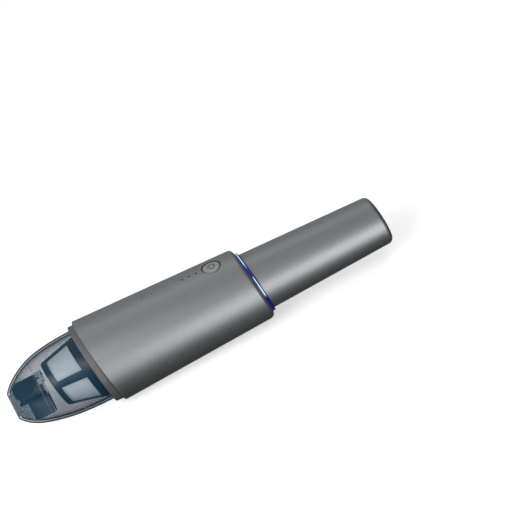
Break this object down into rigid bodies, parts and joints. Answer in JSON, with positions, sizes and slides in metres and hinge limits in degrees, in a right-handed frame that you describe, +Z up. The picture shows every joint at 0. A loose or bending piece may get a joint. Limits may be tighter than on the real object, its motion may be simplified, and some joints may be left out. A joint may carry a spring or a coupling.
{
  "type": "handheld vacuum",
  "caption": "Slim tubular cordless hand vacuum: clear rounded dust cup with window filter, grey body with power key and lamps, blue light ring and thin handle.",
  "frame": {"origin": "under the middle of the bounding box, on the level of the body's lowest point", "axes": "+X along the tool from the nozzle to the handle's end, +Z up through the power key, +Y to the right of someone who holds the handle and points the nozzle away"},
  "size_m": [0.3136, 0.07, 0.0689],
  "materials": {
    "grey_metal": "satin space-grey anodised",
    "key_grey": "satin grey",
    "end_grey": "satin grey",
    "collar_grey": "warm grey",
    "black_plastic": "moulded",
    "duct_teal": "dark teal",
    "cage_navy": "dark navy",
    "smoked_clear": "smoky blue polycarbonate",
    "partition_clear": "clear polycarbonate",
    "lamp_clear": "smoked light pipe",
    "blue_light": "blue-lit acrylic",
    "steel": "zinc plated",
    "motor_steel": "drawn steel",
    "magnet": "ferrite",
    "winding": "laminated steel and copper, as one mean density",
    "bronze": "sintered bronze",
    "nickel": "nickel",
    "cell_wrap": "shrink-wrapped cell, as one mean density",
    "led": "clear",
    "board_green": "solder mask",
    "chip_black": "epoxy",
    "black_rubber": "soft",
    "flap_rubber": "soft",
    "red_wire": "insulated wire",
    "fan_white": "glass-filled nylon",
    "pale_mesh": "woven mesh",
    "pleat_white": "pleated paper"
  },
  "bodies": {
    "housing": {"body_shell": "grey_metal", "bulkhead": "black_plastic", "motor_frame": "black_plastic", "release_guide": "black_plastic", "board_frame": "black_plastic", "neck": "black_plastic", "neck_screws": "steel", "light_ring": "blue_light", "ring_board": "board_green", "ring_leds": "led", "fan_shroud": "black_plastic", "stator_plate": "black_plastic", "motor_can": "motor_steel", "motor_end_plate": "black_plastic", "motor_terminals": "bronze", "motor_magnets": "magnet", "motor_bushes": "bronze", "motor_sleeve": "black_rubber", "motor_leads": "red_wire", "control_board": "board_green", "board_screws": "steel", "tact_switch": "chip_black", "controller_chips": "chip_black", "lamp_leds": "led", "lamp_lenses": "lamp_clear", "power_bezel": "black_plastic", "release_spring": "steel", "handle_shell": "grey_metal", "end_cap": "end_grey", "charge_port": "nickel", "charge_board": "board_green", "battery_cells": "cell_wrap", "cell_holders": "black_plastic", "nickel_strips": "nickel", "battery_leads": "red_wire"},
    "fan": {"impeller": "fan_white", "motor_shaft": "steel", "motor_rotor": "winding"},
    "power_key": {"power_button": "key_grey"},
    "release_key": {"release_button": "key_grey"},
    "cup": {"dust_cup": "smoked_clear", "cup_collar": "collar_grey", "cup_seal": "black_rubber", "intake_duct": "duct_teal", "partition": "partition_clear", "flap_pin": "steel", "flap_lugs": "duct_teal"},
    "flap": {"duct_flap": "flap_rubber"},
    "filter": {"filter_cage": "cage_navy", "filter_mesh": "pale_mesh", "filter_core": "pleat_white", "filter_gasket": "black_rubber"}
  },
  "joints": [
    {"name": "fan_spin", "type": "hinge", "parent": "housing", "child": "fan", "pos_m": [-0.05523, 0, 0.03372], "axis": [1, 0, 0], "continuous": true},
    {"name": "power_press", "type": "slide", "parent": "housing", "child": "power_key", "axis": [0, 0, -1], "range_m": [0, 0.0008], "stiffness_N_per_m": 2000},
    {"name": "release_press", "type": "slide", "parent": "housing", "child": "release_key", "axis": [0, 0, -1], "range_m": [0, 0.0018], "stiffness_N_per_m": 900, "deforming": ["release_spring"]},
    {"name": "cup_slide", "type": "slide", "parent": "housing", "child": "cup", "axis": [-1, 0, 0], "range_m": [0, 0.12]},
    {"name": "filter_slide", "type": "slide", "parent": "housing", "child": "filter", "axis": [-1, 0, 0], "range_m": [0, 0.062]},
    {"name": "flap_swing", "type": "hinge", "parent": "cup", "child": "flap", "pos_m": [-0.12883, 0, 0.04492], "axis": [0, -1, 0], "range_deg": [0, 16]}
  ],
  "couplings": [
    {"joint": "filter_slide", "follows": "cup_slide", "ratio": 0.5}
  ]
}
